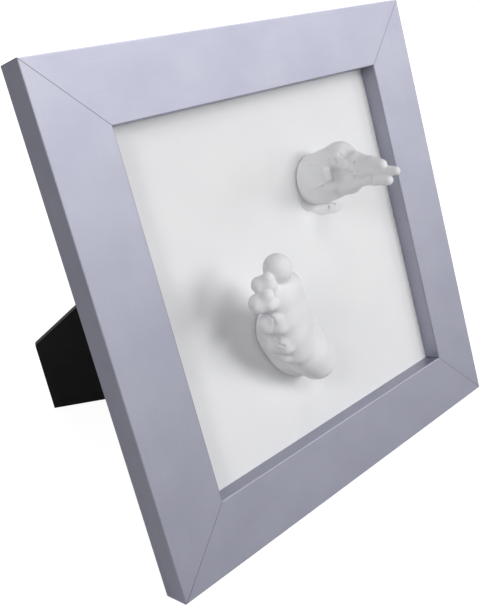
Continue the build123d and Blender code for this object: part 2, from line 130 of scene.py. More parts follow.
def light_world():
    """White behind the object, a room paler up to the right in what shines, an even fill for all else."""
    world = bpy.data.worlds.new("studio")
    bpy.context.scene.world = world
    world.use_nodes = True
    tree = world.node_tree
    paths = tree.nodes.new("ShaderNodeLightPath")
    around = tree.nodes.new("ShaderNodeTexCoord").outputs["Generated"]
    room = spread(tree, reach_along(tree, around, ROOM_PALES_TOWARD), ROOM_SPAN, ROOM_STRENGTHS)
    strength = mixed(tree, paths.outputs["Is Glossy Ray"], FILL_STRENGTH, room)
    strength = mixed(tree, paths.outputs["Is Camera Ray"], strength, 1.0)
    background = tree.nodes["Background"]
    background.inputs["Color"].default_value = (1, 1, 1, 1)
    tree.links.new(strength, background.inputs["Strength"])


def lay_floor():
    mesh = bpy.data.meshes.new("floor")
    corners = [(x * FLOOR_REACH, y * FLOOR_REACH, 0) for x, y in ((-1, -1), (1, -1), (1, 1), (-1, 1))]
    mesh.from_pydata(corners, [], [(0, 1, 2, 3)])
    floor = bpy.data.objects.new("floor", mesh)
    bpy.context.collection.objects.link(floor)
    tree, shader = start_material("pale_floor", Base_Color=FLOOR_COLOUR, Roughness=FLOOR_ROUGHNESS)
    paths = tree.nodes.new("ShaderNodeLightPath")
    seen = maths(tree, "MULTIPLY", paths.outputs["Is Camera Ray"], FLOOR_GLOW)
    glow = place_node(tree, "ShaderNodeEmission", Strength=seen)
    both = tree.nodes.new("ShaderNodeAddShader")
    tree.links.new(shader.outputs[0], both.inputs[0])
    tree.links.new(glow.outputs[0], both.inputs[1])
    tree.links.new(both.outputs[0], tree.nodes["Material Output"].inputs["Surface"])
    mesh.materials.append(bpy.data.materials["pale_floor"])


# Nodes, for materials and for the fasteners

# A mix node has sockets for each kind of data: here those for the amount, low and high, and the result's
MIX_SOCKETS = {"FLOAT": ((0, 2, 3), 0), "RGBA": ((0, 6, 7), 2)}


def feed(tree, socket, value):
    """A socket's value, or a link to it from another node's output."""
    if isinstance(value, bpy.types.NodeSocket):
        tree.links.new(value, socket)
    elif socket.type == "RGBA":
        socket.default_value = (*value[:3], 1)
    else:
        socket.default_value = value


def place_node(tree, kind, settings=(), **inputs):
    """A new node with its settings and its inputs by name, underscores standing for spaces."""
    made = tree.nodes.new(kind)
    for name, value in dict(settings).items():
        setattr(made, name, value)
    for name, value in inputs.items():
        feed(tree, made.inputs[name.replace("_", " ")], value)
    return made


def maths(tree, operation, *values):
    made = place_node(tree, "ShaderNodeMath", {"operation": operation})
    for socket, value in zip(made.inputs, values):
        feed(tree, socket, value)
    return made.outputs[0]


def noise(tree, vector, scale, detail=3.0, rough=0.5):
    return place_node(tree, "ShaderNodeTexNoise", Vector=vector, Scale=scale, Detail=detail,
                      Roughness=rough).outputs["Fac"]


def mix(tree, kind, *values):
    made = place_node(tree, "ShaderNodeMix", {"data_type": kind})
    sockets, result = MIX_SOCKETS[kind]
    for index, value in zip(sockets, values):
        feed(tree, made.inputs[index], value)
    return made.outputs[result]


def mixed(tree, amount, low, high):
    return mix(tree, "FLOAT", amount, low, high)


def tinted(tree, amount, low, high):
    return mix(tree, "RGBA", amount, low, high)


def spread(tree, value, span, result=(0.0, 1.0)):
    """A value taken from one span to another and kept inside it."""
    return place_node(tree, "ShaderNodeMapRange", Value=value, From_Min=span[0], From_Max=span[1],
                      To_Min=result[0], To_Max=result[1]).outputs["Result"]


def reach_along(tree, vector, axis):
    """How far a vector reaches along a fixed axis."""
    made = place_node(tree, "ShaderNodeVectorMath", {"operation": "DOT_PRODUCT"})
    tree.links.new(vector, made.inputs[0])
    made.inputs[1].default_value = axis
    return made.outputs["Value"]


def stretched(tree, vector, scale):
    return place_node(tree, "ShaderNodeMapping", Vector=vector, Scale=scale).outputs[0]


def bumped(tree, shader, height, strength, distance):
    bump = place_node(tree, "ShaderNodeBump", Height=height, Strength=strength, Distance=distance)
    tree.links.new(bump.outputs["Normal"], shader.inputs["Normal"])


def start_material(name, **plain):
    """A material's tree and its shader, with the plain values set on the shader's own sockets."""
    material = bpy.data.materials.new(name)
    material.use_nodes = True
    shader = material.node_tree.nodes["Principled BSDF"]
    for socket, value in plain.items():
        shader.inputs[socket.replace("_", " ")].default_value = value
    return material.node_tree, shader


def start_group(name, kind, inputs, outputs):
    """A node group with named sockets: its tree, what goes in, and where results come out."""
    group = bpy.data.node_groups.new(name, kind)
    for direction, sockets in (("INPUT", inputs), ("OUTPUT", outputs)):
        for socket, socket_type in sockets.items():
            group.interface.new_socket(socket, in_out=direction, socket_type="NodeSocket" + socket_type)
    return group, group.nodes.new("NodeGroupInput").outputs, group.nodes.new("NodeGroupOutput").inputs


def use_group(tree, name, **inputs):
    made = tree.nodes.new("ShaderNodeGroup")
    made.node_tree = bpy.data.node_groups[name]
    for socket, value in inputs.items():
        feed(tree, made.inputs[socket.replace("_", " ")], value)
    return made.outputs


# Effects that several finishes share

NOISE_SPAN = (0.3, 0.7)    # where most of a noise's values lie
STREAK_DETAIL = 4.0
STREAK_ROUGHNESS = 0.6
PORES_A_METRE = 420.0
PORE_SPAN = (0.02, 0.14)


def build_effects():
    """Shader groups: the place on the frame, a cloudy colour and a fine grain."""
    tree, _, result = start_group("frame_place", "ShaderNodeTree", {},
                                  {"Place": "Vector", "Across": "Float", "Up": "Float", "Out": "Float"})
    seat = place_node(tree, "ShaderNodeVectorMath", {"operation": "SUBTRACT"})
    tree.links.new(tree.nodes.new("ShaderNodeTexCoord").outputs["Object"], seat.inputs[0])
    seat.inputs[1].default_value = FRONT_EDGE
    joined = tree.nodes.new("ShaderNodeCombineXYZ")
    for socket, name, axis in zip(joined.inputs, ("Across", "Up", "Out"), (ACROSS, UP, OUT)):
        along = reach_along(tree, seat.outputs[0], axis)
        tree.links.new(along, socket)
        tree.links.new(along, result[name])
    tree.links.new(joined.outputs[0], result["Place"])

    tree, given, result = start_group(
        "cloudy_colour", "ShaderNodeTree",
        {"Place": "Vector", "Scale": "Float", "Low": "Color", "High": "Color"},
        {"Colour": "Color", "Cloud": "Float"})
    cloud = spread(tree, noise(tree, given["Place"], given["Scale"]), NOISE_SPAN)
    tree.links.new(tinted(tree, cloud, given["Low"], given["High"]), result["Colour"])
    tree.links.new(cloud, result["Cloud"])

    tree, given, result = start_group(
        "fine_grain", "ShaderNodeTree", {"Place": "Vector", "Stretch": "Vector", "Pits": "Float"},
        {"Height": "Float", "Streaks": "Float"})
    drawn = stretched(tree, given["Place"], given["Stretch"])
    streaks = noise(tree, drawn, 1.0, STREAK_DETAIL, STREAK_ROUGHNESS)
    pores = place_node(tree, "ShaderNodeTexVoronoi", Vector=given["Place"], Scale=PORES_A_METRE)
    pits = spread(tree, pores.outputs["Distance"], PORE_SPAN)
    pitted = maths(tree, "MULTIPLY", pits, given["Pits"])
    tree.links.new(maths(tree, "ADD", streaks, pitted), result["Height"])
    tree.links.new(spread(tree, streaks, NOISE_SPAN), result["Streaks"])


# Finishes: clouds, grains and fibres are counts in a metre, a span is in millimetres, and a bump is its
# strength and then its height in metres

FOIL_SPECULAR = 0.6
FOIL_METALLIC = 0.9
FOIL_ROUGHNESS = (0.42, 0.50)
FOIL_GRAIN_ALONG = 60.0
FOIL_GRAIN_ACROSS = 2600.0
FOIL_CLOUDS = 35.0
FOIL_LOW = (0.52, 0.525, 0.635)
FOIL_HIGH = (0.575, 0.58, 0.68)
FOIL_STREAK = (0.50, 0.505, 0.62)
FOIL_STREAK_SHARE = 0.35
FOIL_BUMP = (0.12, 0.0002)
MITRE_SPAN = (0.12, 0.34)      # from the joint, over which its dark line fades
MITRE_SHARE = 0.55
MITRE_COLOUR = (0.10, 0.10, 0.12)
INNER_WALL_SHADE_SPAN = (0.3, 0.8)   # outward from the opening, over which the painted shade on its inner walls fades
INNER_WALL_SHADE_SHARE = 0.34
INNER_WALL_SHADE_COLOUR = (0.02, 0.02, 0.03)
FIBRES = 2600.0
FIBRE_LOW = (0.30, 0.20, 0.11)
FIBRE_HIGH = (0.44, 0.31, 0.18)
FIBRE_BUMP_SHARE = 0.4
WRAP_SPAN = (0.4, 0.6)         # in from the back, where the foil begins

# Finishes of one grain and one cloudy colour
PLAIN_FINISHES = {
    "matt_white_board": {
        "specular": 0.3, "grain": (1400.0, 1400.0, 1400.0), "pits": 0.1,
        "clouds": 22.0, "low": (0.845, 0.848, 0.858), "high": (0.885, 0.886, 0.892),
        "roughness": (0.80, 0.92), "roughness_follows": "streaks", "bump": (0.10, 0.0001)},
    "casting_plaster": {
        "specular": 0.45, "grain": (1500.0, 1500.0, 1500.0), "pits": 0.5,
        "clouds": 160.0, "low": (0.88, 0.883, 0.892), "high": (0.93, 0.93, 0.936),
        "roughness": (0.38, 0.52), "roughness_follows": "cloud", "bump": (0.18, 0.0003),
        "cloud_bumps": True},
    "dried_glue": {
        "specular": 0.5, "grain": (400.0, 1300.0, 800.0), "pits": 0.3,
        "clouds": 300.0, "low": (0.77, 0.772, 0.78), "high": (0.84, 0.84, 0.845),
        "roughness": (0.30, 0.45), "roughness_follows": "streaks", "bump": (0.25, 0.0003)},
    "black_hardboard": {
        "specular": 0.5, "grain": (900.0, 900.0, 900.0), "pits": 0.25,
        "clouds": 40.0, "low": (0.004, 0.004, 0.005), "high": (0.009, 0.009, 0.011),
        "roughness": (0.30, 0.42), "roughness_follows": "cloud", "bump": (0.15, 0.0002)},
    "zinc_plate": {
        "metallic": 1.0, "grain": (300.0, 2600.0, 900.0), "pits": 0.15,
        "clouds": 600.0, "low": (0.42, 0.42, 0.43), "high": (0.60, 0.60, 0.61),
        "roughness": (0.30, 0.42), "roughness_follows": "streaks", "bump": (0.08, 0.0001)},
    "bright_steel": {
        "metallic": 1.0, "grain": (300.0, 2600.0, 900.0), "pits": 0.15,
        "clouds": 600.0, "low": (0.55, 0.55, 0.55), "high": (0.70, 0.70, 0.70),
        "roughness": (0.22, 0.34), "roughness_follows": "streaks", "bump": (0.08, 0.0001)},
}


def in_metres(span, start=0.0):
    """A span in millimetres, measured from a start."""
    return [(start + edge) * MM for edge in span]


def foil(name, grain):
    """Silver-lilac foil over fibreboard, brushed along the rail, with dark mitre joints and painted shade
    on its inner walls.
    """
    tree, shader = start_material(name, Specular_IOR_Level=FOIL_SPECULAR)
    spot = use_group(tree, "frame_place")
    brushed = use_group(tree, "fine_grain", Place=spot["Place"], Stretch=grain, Pits=0.0)
    silver = use_group(tree, "cloudy_colour", Place=spot["Place"], Scale=FOIL_CLOUDS,
                       Low=FOIL_LOW, High=FOIL_HIGH)["Colour"]
    streaky = maths(tree, "MULTIPLY", brushed["Streaks"], FOIL_STREAK_SHARE)
    silver = tinted(tree, streaky, silver, FOIL_STREAK)
    sideways = maths(tree, "ABSOLUTE", spot["Across"])
    upwards = maths(tree, "ABSOLUTE", maths(tree, "SUBTRACT", spot["Up"], OUTER / 2 * MM))
    beside_mitre = maths(tree, "ABSOLUTE", maths(tree, "SUBTRACT", sideways, upwards))
    mitre = spread(tree, beside_mitre, in_metres(MITRE_SPAN), (MITRE_SHARE, 0.0))
    silver = tinted(tree, mitre, silver, MITRE_COLOUR)
    # painted shade: the foil's colour darkened toward the inner walls of the opening, where shade falls
    off_middle = maths(tree, "MAXIMUM", sideways, upwards)
    wall_shade_span = in_metres(INNER_WALL_SHADE_SPAN, OUTER / 2 - RAIL_WIDTH)
    inside = spread(tree, off_middle, wall_shade_span, (INNER_WALL_SHADE_SHARE, 0.0))
    silver = tinted(tree, inside, silver, INNER_WALL_SHADE_COLOUR)
    speckle = noise(tree, spot["Place"], FIBRES, 1.0)
    fibres = tinted(tree, speckle, FIBRE_LOW, FIBRE_HIGH)
    wrapped = spread(tree, spot["Out"], in_metres(WRAP_SPAN, -RAIL_DEPTH))
    feed(tree, shader.inputs["Base Color"], tinted(tree, wrapped, fibres, silver))
    feed(tree, shader.inputs["Metallic"], maths(tree, "MULTIPLY", wrapped, FOIL_METALLIC))
    feed(tree, shader.inputs["Roughness"], spread(tree, brushed["Streaks"], (0.0, 1.0), FOIL_ROUGHNESS))
    fibre_bump = maths(tree, "MULTIPLY", speckle, FIBRE_BUMP_SHARE)
    bumped(tree, shader, maths(tree, "ADD", brushed["Height"], fibre_bump), *FOIL_BUMP)
    return bpy.data.materials[name]


def plain_finish(name):
    """A finish by its row in the table."""
    row = PLAIN_FINISHES[name]
    tree, shader = start_material(name, Metallic=row.get("metallic", 0.0),
                                  Specular_IOR_Level=row.get("specular", 0.5))
    spot = use_group(tree, "frame_place")
    grain = use_group(tree, "fine_grain", Place=spot["Place"], Stretch=row["grain"], Pits=row["pits"])
    cloudy = use_group(tree, "cloudy_colour", Place=spot["Place"], Scale=row["clouds"],
                       Low=row["low"], High=row["high"])
    feed(tree, shader.inputs["Base Color"], cloudy["Colour"])
    worn = cloudy["Cloud"] if row["roughness_follows"] == "cloud" else grain["Streaks"]
    feed(tree, shader.inputs["Roughness"], spread(tree, worn, (0.0, 1.0), row["roughness"]))
    height = grain["Height"]
    if row.get("cloud_bumps"):
        height = maths(tree, "ADD", height, cloudy["Cloud"])
    bumped(tree, shader, height, *row["bump"])
    return bpy.data.materials[name]


# Fasteners, made by one tree: a domed head on a shank at every point

HEAD_SIDES = 32
HEAD_BANDS = 3
HEAD_RINGS = 6
SHANK_SIDES = 24
SHANK_SINK_SHARE = 0.49    # of its own length, so that its end lies inside the head
SLOT_REACH_SHARE = 3.0     # of the head's radius, so that the slot runs right across
CRISP_ANGLE = radians(35)
RANDOM_LIMITS = (2, 3)     # a random value node's sockets for the least and the greatest number
RANDOM_RESULT = 1


def domed_head(tree, given):
    """A disc whose top falls toward its rim, by the crown's share of its height."""
    radius, height = given["Head Radius"], given["Head Height"]
    blank = place_node(tree, "GeometryNodeMeshCylinder", Vertices=HEAD_SIDES, Side_Segments=HEAD_BANDS,
                       Fill_Segments=HEAD_RINGS, Radius=radius, Depth=height)
    where = tree.nodes.new("GeometryNodeInputPosition").outputs[0]
    x, y, z = place_node(tree, "ShaderNodeSeparateXYZ", Vector=where).outputs
    reach = maths(tree, "ADD", maths(tree, "MULTIPLY", x, x), maths(tree, "MULTIPLY", y, y))
    share = maths(tree, "DIVIDE", reach, maths(tree, "MULTIPLY", radius, radius))
    fall = maths(tree, "MULTIPLY", given["Crown"], maths(tree, "MULTIPLY", share, share))
    lifted = maths(tree, "ADD", z, maths(tree, "MULTIPLY", height, 0.5))
    domed = place_node(tree, "ShaderNodeCombineXYZ", X=x, Y=y,
                       Z=maths(tree, "MULTIPLY", lifted, maths(tree, "SUBTRACT", 1.0, fall)))
    return place_node(tree, "GeometryNodeSetPosition", Geometry=blank.outputs["Mesh"],
                      Position=domed.outputs[0]).outputs[0]


def slotted_head(tree, given, head):
    """The head with a slot right across it, where the slot has a width."""
    cutter = place_node(tree, "ShaderNodeCombineXYZ",
                        X=maths(tree, "MULTIPLY", given["Head Radius"], SLOT_REACH_SHARE),
                        Y=given["Slot Width"], Z=maths(tree, "MULTIPLY", given["Slot Depth"], 2.0))
    block = place_node(tree, "GeometryNodeMeshCube", Size=cutter.outputs[0])
    raised = place_node(tree, "ShaderNodeCombineXYZ", Z=given["Head Height"])
    block = place_node(tree, "GeometryNodeTransform", Geometry=block.outputs["Mesh"],
                       Translation=raised.outputs[0])
    slotted = place_node(tree, "GeometryNodeMeshBoolean", {"operation": "DIFFERENCE", "solver": "EXACT"},
                         Mesh_1=head, Mesh_2=block.outputs[0])
    has_slot = maths(tree, "GREATER_THAN", given["Slot Width"], 0.0)
    return place_node(tree, "GeometryNodeSwitch", {"input_type": "GEOMETRY"}, Switch=has_slot,
                      **{"False": head, "True": slotted.outputs[0]}).outputs[0]


def sunk_shank(tree, given):
    """The shank, its upper end inside the head."""
    length = given["Shank Length"]
    shank = place_node(tree, "GeometryNodeMeshCylinder", Vertices=SHANK_SIDES, Radius=given["Shank Radius"],
                       Depth=length)
    sunk = place_node(tree, "ShaderNodeCombineXYZ", Z=maths(tree, "MULTIPLY", length, -SHANK_SINK_SHARE))
    return place_node(tree, "GeometryNodeTransform", Geometry=shank.outputs["Mesh"],
                      Translation=sunk.outputs[0]).outputs[0]


def stood_on_points(tree, given, whole):
    """The fastener on every point as one mesh, along the point's own turn, its slot at random."""
    turn = place_node(tree, "GeometryNodeInputNamedAttribute", {"data_type": "FLOAT_VECTOR"}, Name="turn")
    stood = place_node(tree, "GeometryNodeInstanceOnPoints", Points=given["Points"], Instance=whole,
                       Rotation=turn.outputs["Attribute"])
    spin = place_node(tree, "FunctionNodeRandomValue", {"data_type": "FLOAT"}, Seed=given["Seed"])
    for index, limit in zip(RANDOM_LIMITS, (0.0, pi)):
        spin.inputs[index].default_value = limit
    about = place_node(tree, "ShaderNodeCombineXYZ", Z=spin.outputs[RANDOM_RESULT])
    spun = place_node(tree, "GeometryNodeRotateInstances", Instances=stood.outputs[0], Local_Space=True,
                      Rotation=about.outputs[0])
    return place_node(tree, "GeometryNodeRealizeInstances", Geometry=spun.outputs[0]).outputs[0]


def fastener_tree():
    """Stands heads with their shanks on points, in one finish, the faces smooth and the edges crisp."""
    sizes = {size: "Float" for size in SCREW}
    inputs = {"Points": "Geometry", **sizes, "Seed": "Int", "Finish": "Material"}
    tree, given, result = start_group("fasteners", "GeometryNodeTree", inputs, {"Fasteners": "Geometry"})
    head = slotted_head(tree, given, domed_head(tree, given))
    whole = tree.nodes.new("GeometryNodeJoinGeometry")
    for part in (head, sunk_shank(tree, given)):
        tree.links.new(part, whole.inputs[0])
    stood = stood_on_points(tree, given, whole.outputs[0])
    smooth = place_node(tree, "GeometryNodeSetShadeSmooth", Geometry=stood)
    corner = tree.nodes.new("GeometryNodeInputMeshEdgeAngle").outputs["Unsigned Angle"]
    crisp = place_node(tree, "GeometryNodeSetShadeSmooth", {"domain": "EDGE"}, Geometry=smooth.outputs[0],
                       Selection=maths(tree, "GREATER_THAN", corner, CRISP_ANGLE), Shade_Smooth=False)
    dressed = place_node(tree, "GeometryNodeSetMaterial", Geometry=crisp.outputs[0],
                         Material=given["Finish"])
    tree.links.new(dressed.outputs[0], result["Fasteners"])
    return tree


def fasten(name, tree, places, sizes, finish, seed):
    """One plain mesh with a fastener at each (place, direction), sizes in millimetres but the crown."""
    points = bpy.data.meshes.new(name + "_points")
    points.from_pydata([tuple(place) for place, _ in places], [], [])
    turns = points.attributes.new("turn", "FLOAT_VECTOR", "POINT")
    for row, (_, direction) in zip(turns.data, places):
        row.vector = direction.to_track_quat("Z", "Y").to_euler()
    piece = bpy.data.objects.new(name, points)
    bpy.context.collection.objects.link(piece)
    modifier = piece.modifiers.new("fasteners", "NODES")
    modifier.node_group = tree
    values = {size: value if size == "Crown" else value * MM for size, value in sizes.items()}
    values.update({"Finish": finish, "Seed": seed})
    for socket in tree.interface.items_tree:
        if socket.in_out == "INPUT" and socket.name in values:
            modifier[socket.identifier] = values[socket.name]
    made = bpy.data.meshes.new_from_object(piece.evaluated_get(bpy.context.evaluated_depsgraph_get()))
    piece.modifiers.clear()
    piece.data = made
    made.name = name
    bpy.data.meshes.remove(points)
    return piece


# Plaster and glue: distances in the cast's own millimetres, turned into one closed skin

CREASE_ROUND = 0.5
CUT_EDGE_ROUND = 0.7
CELL_CORNERS = np.array([(i, j, k) for i in (0, 1) for j in (0, 1) for k in (0, 1)])
CELL_EDGES = [(a, b) for a in range(8) for b in range(a + 1, 8)
              if abs(CELL_CORNERS[a] - CELL_CORNERS[b]).sum() == 1]
EDGE_RING = [(0, 0), (-1, 0), (-1, -1), (0, -1)]     # the four cells round a grid edge


def limb(space, start, end):
    """Distance to a round limb between two balls, each (x, y, z, radius)."""
    (ax, ay, az, ar), (bx, by, bz, br) = start, end
    x, y, z = space
    dx, dy, dz = bx - ax, by - ay, bz - az
    t = ((x - ax) * dx + (y - ay) * dy + (z - az) * dz) / (dx * dx + dy * dy + dz * dz)
    t = np.clip(t, 0, 1)
    reach = (x - ax - t * dx) ** 2 + (y - ay - t * dy) ** 2 + (z - az - t * dz) ** 2
    return np.sqrt(reach) - (ar + (br - ar) * t)


def lump(space, centre, radii):
    """Distance to an ellipsoid along the frame's axes."""
    q = [(axis - c) / radius for axis, c, radius in zip(space, centre, radii)]
    length = np.sqrt(q[0] ** 2 + q[1] ** 2 + q[2] ** 2)
    return (length - 1) * min(radii)


def melt(a, b, width):
    """The nearer of two distances, with the seam between them filled over this width."""
    lean = np.maximum(width - np.abs(a - b), 0) / width
    return np.minimum(a, b) - lean * lean * width / 4


def carve(body, tool, width):
    """The body with the tool pressed out of it, its rim rounded over this width."""
    return -melt(-body, tool, width)


def chain(space, balls, width):
    """A finger or toe: its balls in order, joined by limbs."""
    whole = limb(space, balls[0], balls[1])
    for start, end in zip(balls[1:], balls[2:]):
        whole = melt(whole, limb(space, start, end), width)
    return whole


def linked(space, balls, links, width):
    """Flesh over linked balls, its seams filled over this width."""
    whole = None
    for start, end in links:
        piece = limb(space, balls[start], balls[end])
        whole = piece if whole is None else melt(whole, piece, width)
    return whole


def creased(space, body, creases):
    """Fine folds pressed in along lines from point to point, each line with its own radius."""
    for radius, *points in creases:
        for start, end in zip(points, points[1:]):
            body = carve(body, limb(space, (*start, radius), (*end, radius)), CREASE_ROUND)
    return body


def cut_flat(space, body, height, width):
    """Everything under this height cut away, the edge rounded over this width."""
    return -melt(-body, space[2] - height, width)


def glued_face(space, body, side, start, slope):
    """The cut face on its glue, tipping up from the board past this distance toward one side."""
    rim = np.maximum(space[0] * side[0] + space[1] * side[1] - start, 0)
    return cut_flat(space, body, GLUE_GAP + slope * rim, CUT_EDGE_ROUND)


def surface_points(depth, cells):
    """In each cell, the mean of the points where the surface crosses its edges, counted in cells."""
    values = depth[tuple((cells[:, None, :] + CELL_CORNERS).transpose(2, 0, 1))]
    total = np.zeros((len(cells), 3))
    count = np.zeros(len(cells))
    for a, b in CELL_EDGES:
        va, vb = values[:, a], values[:, b]
        crossed = (va < 0) != (vb < 0)
        t = np.where(crossed, va / np.where(crossed, va - vb, 1), 0)
        run = CELL_CORNERS[b] - CELL_CORNERS[a]
        total += np.where(crossed[:, None], CELL_CORNERS[a] + t[:, None] * run, 0)
        count += crossed
    return cells + total / count[:, None]


def surface_quads(inside, index):
    """A quad round each grid edge that the surface crosses, from the numbers of the cells round it."""
    quads = []
    for axis in range(3):
        near = inside[tuple(slice(0, -1) if a == axis else slice(1, -1) for a in range(3))]
        far = inside[tuple(slice(1, None) if a == axis else slice(1, -1) for a in range(3))]
        shift = np.ones(3, int)
        shift[axis] = 0
        b, c = (axis + 1) % 3, (axis + 2) % 3
        for rising in (True, False):
            hits = np.argwhere(near & ~far if rising else far & ~near) + shift
            columns = []
            for step_b, step_c in EDGE_RING if rising else EDGE_RING[::-1]:
                cell = hits.copy()
                cell[:, b] += step_b
                cell[:, c] += step_c
                columns.append(index[tuple(cell.T)])
            quads.append(np.stack(columns, 1))
    return np.concatenate(quads)


def skin(name, distance, low, high, step, place):
    """One vertex in each cell that the surface crosses, and a quad round each crossed grid edge."""
    axes = [np.arange(a, b + step, step, dtype=np.float32) for a, b in zip(low, high)]
    depth = distance(np.meshgrid(*axes, indexing="ij", sparse=True))
    inside = depth < 0
    cut = [slice(0, -1), slice(1, None)]
    filled = sum(inside[cut[i], cut[j], cut[k]].astype(np.int8) for i, j, k in CELL_CORNERS)
    cells = np.argwhere((filled > 0) & (filled < len(CELL_CORNERS)))
    index = np.full(filled.shape, -1)
    index[tuple(cells.T)] = np.arange(len(cells))
    points = np.array(low) + surface_points(depth, cells) * step + np.array(place)
    return new_piece(name, in_world(points).tolist(), surface_quads(inside, index).tolist())


def new_piece(name, points, faces):
    mesh = bpy.data.meshes.new(name)
    mesh.from_pydata(points, [], faces)
    mesh.shade_smooth()
    piece = bpy.data.objects.new(name, mesh)
    bpy.context.collection.objects.link(piece)
    return piece


# Casts: the middle of each cut face in the frame's own millimetres, then from that middle the box in which
# the skin is sought, and the size of the cells in it
HAND_PLACE = (31.4, 163.2, -LIP_DEPTH)
FOOT_PLACE = (-13.9, 89.4, -LIP_DEPTH)
HAND_BOX = ((-27, -18, -2), (20, 24, 64))
FOOT_BOX = ((-52, -30, -2), (28, 56, 50))
GLUE_BOX = ((-17, -25, -1), (21, 15, 3))
HAND_VOXEL = 0.35
FOOT_VOXEL = 0.5
GLUE_VOXEL = 0.25
GLUE_GAP = 0.8
WRIST_LIFT = ((-0.95, 0.30), 9.0, 0.08)     # side, start and slope of the rim that stands off the board
ANKLE_LIFT = ((-0.75, -0.66), 8.0, 0.06)

# The hand, from the middle of its cut wrist: balls as (across, up, out, radius)
HAND_BALLS = {
    "wrist": (-1.4, 0.8, -4.0, 14.2),
    "heel": (-0.4, 0.8, 6.0, 12.1),
    "palm_upper": (1.2, 6.4, 14.0, 8.8),
    "palm_lower": (1.2, -2.0, 14.5, 8.6),
    "knuckle_upper": (1.2, 9.6, 21.5, 7.3),
    "knuckle_lower": (1.2, -3.4, 24.0, 5.9),
    "thenar": (-2.6, -0.6, 5.0, 10.4),
    "thumb_ball": (-6.0, -1.8, 11.0, 8.6),
    "thumb_root": (-7.4, -0.2, 14.4, 6.0),
}
HAND_LINKS = [
    ("wrist", "heel"), ("heel", "palm_upper"), ("heel", "palm_lower"), ("palm_upper", "knuckle_upper"),
    ("palm_lower", "knuckle_lower"), ("knuckle_upper", "knuckle_lower"), ("thenar", "thumb_ball"),
    ("thumb_ball", "thumb_root"),
]
THUMB = [(-8.6, -0.6, 15.6, 4.8), (-10.4, 1.6, 19.4, 2.7), (-10.9, 5.2, 20.4, 2.2)]
FINGERS = {
    "index": [(0.4, -3.6, 26.0, 4.8), (-3.0, -3.4, 33.5, 3.9), (-4.0, -3.0, 38.0, 3.2),
              (-4.6, -3.9, 46.0, 3.1), (-5.4, -5.4, 55.2, 2.5)],
    "middle": [(-0.6, 0.6, 26.0, 4.8), (-4.0, 0.8, 35.0, 4.0), (-4.4, 0.8, 41.0, 3.3),
               (-4.0, 0.0, 48.5, 3.1), (-3.5, -1.6, 59.6, 2.2)],
    "ring": [(0.8, 7.9, 27.0, 5.1), (-2.0, 6.8, 35.0, 4.3), (-2.8, 5.4, 40.5, 3.4),
             (-3.6, 4.4, 46.0, 3.3), (-4.7, 2.8, 52.7, 2.7)],
    "little": [(-0.6, 10.2, 20.0, 4.4), (-3.8, 9.2, 25.6, 3.9), (-5.0, 6.2, 30.0, 3.3),
               (-4.8, 3.0, 33.0, 2.9)],
}
PALM_HOLLOW = ((-9.4, 0.0, 27.5), (9.8, 6.2, 8.6))
HAND_CREASES = [   # radius, then points just under the skin
    (0.60, (-7.9, 10.4, 22.3), (-8.0, 7.8, 24.2)),
    (0.60, (-8.0, 9.6, 26.2), (-7.9, 7.4, 27.2)),
    (0.60, (-6.2, 12.2, 28.0), (-6.2, 9.6, 30.8)),
    (0.70, (-7.3, 3.1, 31.4), (-7.7, 2.3, 34.9)),
    (0.65, (-5.9, 6.1, 37.0), (-7.5, 1.7, 37.3)),
    (0.65, (-7.5, -0.9, 36.8), (-7.1, -2.7, 40.6), (-7.0, -1.9, 43.7)),
    (0.50, (-7.1, -1.8, 46.7), (-7.4, -5.5, 46.7)),
    (0.35, (-10.9, 9.1, 9.2), (-9.1, 7.8, 16.9)),
]
THUMB_RIDGE = ((-15.1, -2.7, 13.0, 0.6), (-13.4, -1.2, 18.4, 0.8))
HAND_SEAMS = {   # how wide each seam is filled
    "palm": 4.5, "hollow": 2.5, "finger_bones": 1.4, "fingers": 0.9, "knuckles": 4.2,
    "thumb_bones": 1.0, "thumb": 1.2, "ridge": 0.6,
}


def hand_distance(space):
    palm = linked(space, HAND_BALLS, HAND_LINKS, HAND_SEAMS["palm"])
    palm = carve(palm, lump(space, *PALM_HOLLOW), HAND_SEAMS["hollow"])
    fingers = None
    for balls in FINGERS.values():
        finger = chain(space, balls, HAND_SEAMS["finger_bones"])
        fingers = finger if fingers is None else melt(fingers, finger, HAND_SEAMS["fingers"])
    hand = melt(palm, fingers, HAND_SEAMS["knuckles"])
    hand = melt(hand, chain(space, THUMB, HAND_SEAMS["thumb_bones"]), HAND_SEAMS["thumb"])
    hand = melt(hand, limb(space, *THUMB_RIDGE), HAND_SEAMS["ridge"])
    return glued_face(space, creased(space, hand, HAND_CREASES), *WRIST_LIFT)


# The foot, from the middle of its cut ankle
ANKLE_RADII = (20.4, 26.6)
ANKLE_TURN = 32.0        # degrees
ANKLE_TOP = (-11.1, 2.7, 16.0, 11.0)     # where it has run into the foot, and its radius there
FOOT_BALLS = {
    "heel_back": (-0.3, -13.6, 15.0, 8.3),
    "heel": (-0.9, -6.5, 11.0, 11.4),
    "heel_front": (-7.5, -5.0, 17.0, 9.0),
    "waist": (-13.3, 4.9, 19.6, 7.4),
    "arch": (-17.7, 15.5, 24.6, 6.8),
    "forefoot": (-20.5, 23.6, 28.8, 7.2),
    "big_ball": (-24.7, 34.5, 33.0, 6.8),
    "second_ball": (-31.7, 32.7, 34.8, 6.6),
    "third_ball": (-31.5, 27.7, 34.0, 6.6),
    "fourth_ball": (-30.3, 20.9, 31.6, 6.8),
    "fifth_ball": (-25.1, 11.5, 27.2, 7.2),
    "outer": (-20.3, 2.5, 22.8, 7.2),
    "outer_nub": (-27.6, 0.2, 24.8, 2.7),
    "instep": (-14.9, 8.1, 11.2, 11.2),
    "instep_far": (-26.1, 25.1, 26.6, 7.4),
    "instep_outer": (-24.5, 11.9, 24.0, 7.2),
    "inner_arch": (-7.7, 14.3, 19.0, 6.6),
    "inner_heel": (-2.7, 2.5, 13.0, 7.0),
}
